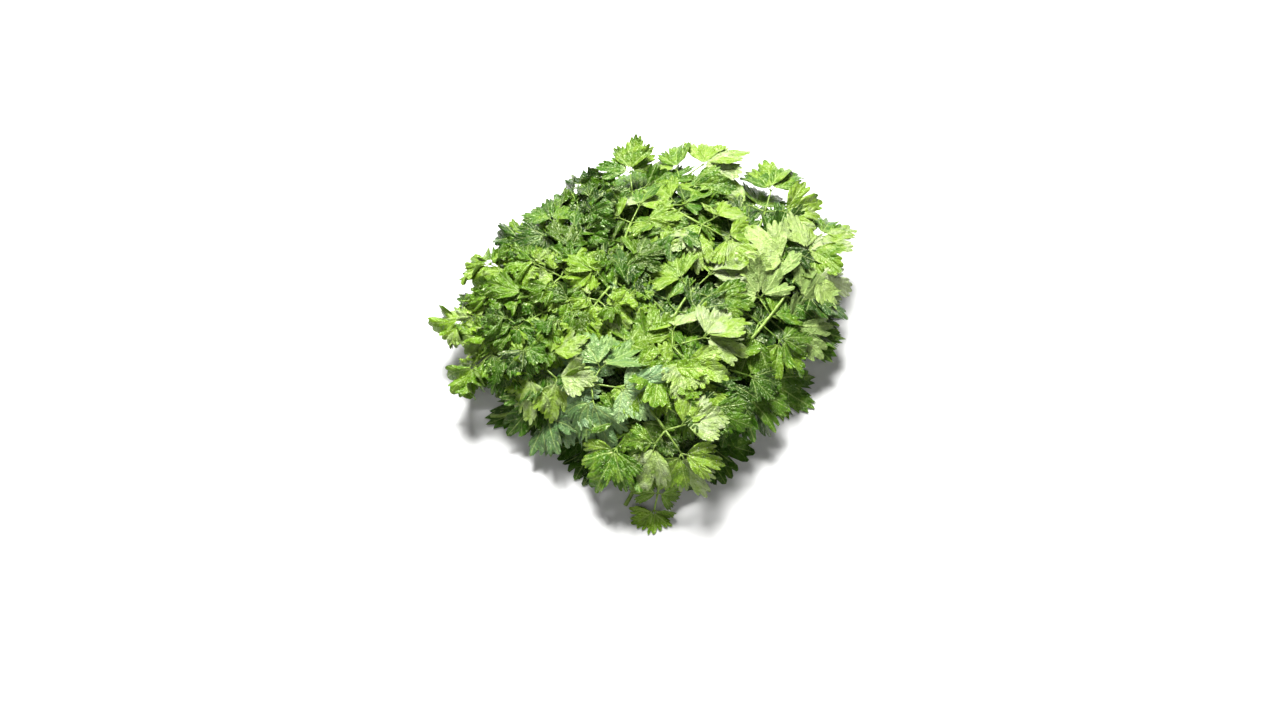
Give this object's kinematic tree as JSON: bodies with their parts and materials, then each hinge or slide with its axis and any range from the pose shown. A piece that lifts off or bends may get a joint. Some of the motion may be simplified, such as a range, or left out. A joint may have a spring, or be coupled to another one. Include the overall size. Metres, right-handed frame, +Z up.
{
  "type": "parsley bunch",
  "caption": "Loose bunch of cut flat-leaved parsley sprigs lying in a low heap, with long stalks and three-lobed toothed leaflets.",
  "frame": {"origin": "middle of the heap's plan, on the surface that it lies on", "axes": "+X along the heap's long side, +Y along its short side, +Z up through its crown"},
  "size_m": [0.3646, 0.3144, 0.0799],
  "materials": {
    "broad_leaf": "fresh green leaf, waxy, with paler veins and stalks",
    "tufted_leaf": "bright green young leaf, waxy",
    "sparse_leaf": "dark green leaf, waxy"
  },
  "bodies": {
    "root": {"broad_sprig_02": "broad_leaf", "broad_sprig_03": "broad_leaf", "broad_sprig_04": "broad_leaf", "broad_sprig_05": "broad_leaf", "broad_sprig_06": "broad_leaf", "broad_sprig_07": "broad_leaf", "broad_sprig_08": "broad_leaf", "broad_sprig_09": "broad_leaf", "broad_sprig_10": "broad_leaf", "broad_sprig_11": "broad_leaf", "broad_sprig_12": "broad_leaf", "broad_sprig_13": "broad_leaf", "broad_sprig_14": "broad_leaf", "broad_sprig_15": "broad_leaf", "broad_sprig_16": "broad_leaf", "broad_sprig_17": "broad_leaf", "broad_sprig_18": "broad_leaf", "broad_sprig_19": "broad_leaf", "broad_sprig_21": "broad_leaf", "broad_sprig_22": "broad_leaf", "broad_sprig_23": "broad_leaf", "broad_sprig_24": "broad_leaf", "broad_sprig_25": "broad_leaf", "broad_sprig_26": "broad_leaf", "broad_sprig_35": "broad_leaf", "sparse_sprig_20": "sparse_leaf", "sparse_sprig_37": "sparse_leaf", "sparse_sprig_38": "sparse_leaf", "sparse_sprig_39": "sparse_leaf", "sparse_sprig_40": "sparse_leaf", "sparse_sprig_41": "sparse_leaf", "sparse_sprig_42": "sparse_leaf", "sparse_sprig_43": "sparse_leaf", "sparse_sprig_44": "sparse_leaf", "sparse_sprig_45": "sparse_leaf", "sparse_sprig_46": "sparse_leaf", "sparse_sprig_47": "sparse_leaf", "sparse_sprig_48": "sparse_leaf", "sparse_sprig_49": "sparse_leaf", "sparse_sprig_50": "sparse_leaf", "sparse_sprig_51": "sparse_leaf", "sparse_sprig_52": "sparse_leaf", "sparse_sprig_53": "sparse_leaf", "sparse_sprig_54": "sparse_leaf", "sparse_sprig_55": "sparse_leaf", "sparse_sprig_56": "sparse_leaf", "sparse_sprig_57": "sparse_leaf", "sparse_sprig_58": "sparse_leaf", "tufted_sprig_01": "tufted_leaf", "tufted_sprig_27": "tufted_leaf", "tufted_sprig_28": "tufted_leaf", "tufted_sprig_29": "tufted_leaf", "tufted_sprig_30": "tufted_leaf", "tufted_sprig_31": "tufted_leaf", "tufted_sprig_32": "tufted_leaf", "tufted_sprig_33": "tufted_leaf", "tufted_sprig_34": "tufted_leaf", "tufted_sprig_36": "tufted_leaf"}
  },
  "joints": []
}
